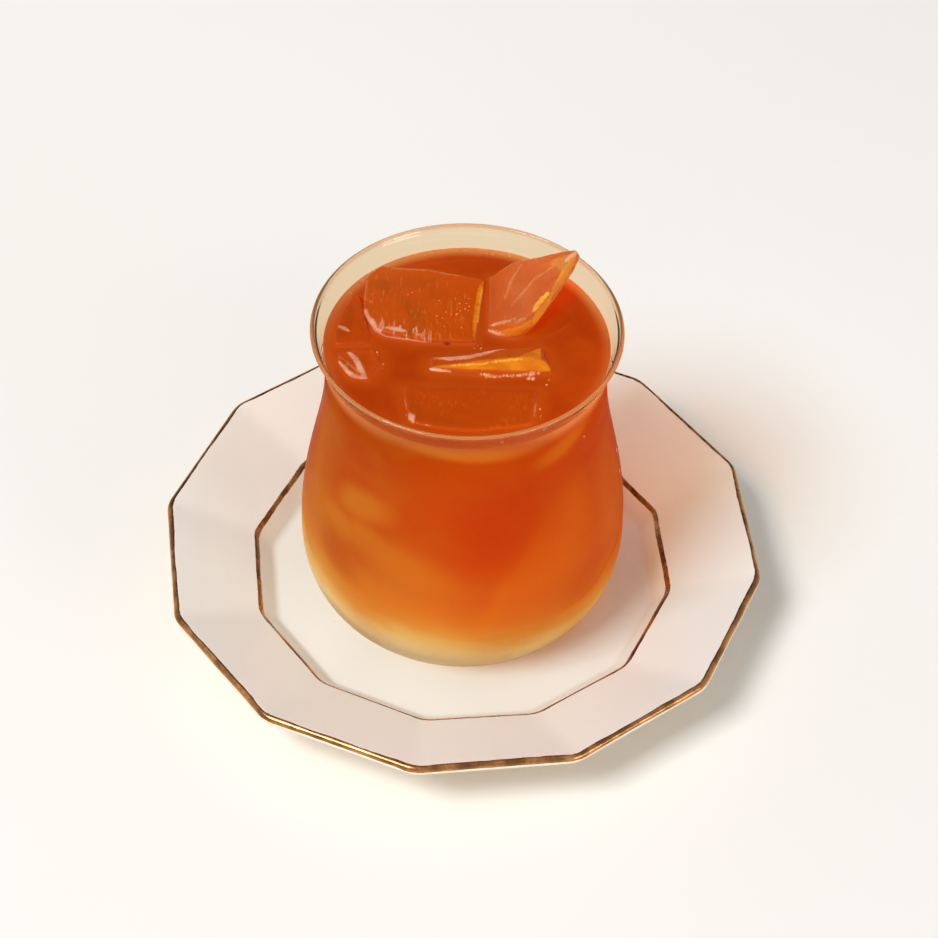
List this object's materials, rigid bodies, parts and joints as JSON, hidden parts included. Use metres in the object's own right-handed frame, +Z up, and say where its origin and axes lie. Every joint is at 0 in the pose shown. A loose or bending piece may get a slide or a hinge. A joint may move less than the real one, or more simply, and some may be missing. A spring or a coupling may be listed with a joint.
{
  "type": "glass of iced tea on a saucer",
  "caption": "Bellied glass with a flared lip, filled with amber tea over a pale layer, with ice standing out of it, on a twelve-sided porcelain saucer with metallic lines.",
  "frame": {"origin": "on the table, at the middle of the saucer's foot", "axes": "+Z up along the axis of the glass and saucer; the picture looks along +Y and down"},
  "size_m": [0.156, 0.156, 0.0997],
  "materials": {
    "porcelain": "glossy off-white glaze with copper-gold lines on the rim and the ridge",
    "clear_glass": "clear, faintly misted outside",
    "pale_layer": "cloudy pale straw-coloured drink",
    "amber_tea": "clear amber-orange tea, glossy on top",
    "ice": "wet ice stained by the tea, with bubbles"
  },
  "bodies": {
    "root": {"saucer": "porcelain", "glass": "clear_glass", "pale_layer": "pale_layer", "tea": "amber_tea", "ice_block_back": "ice", "ice_shard": "ice", "ice_wedge_middle": "ice", "ice_block_front": "ice", "ice_chip_left": "ice", "ice_block_left": "ice"}
  },
  "joints": []
}
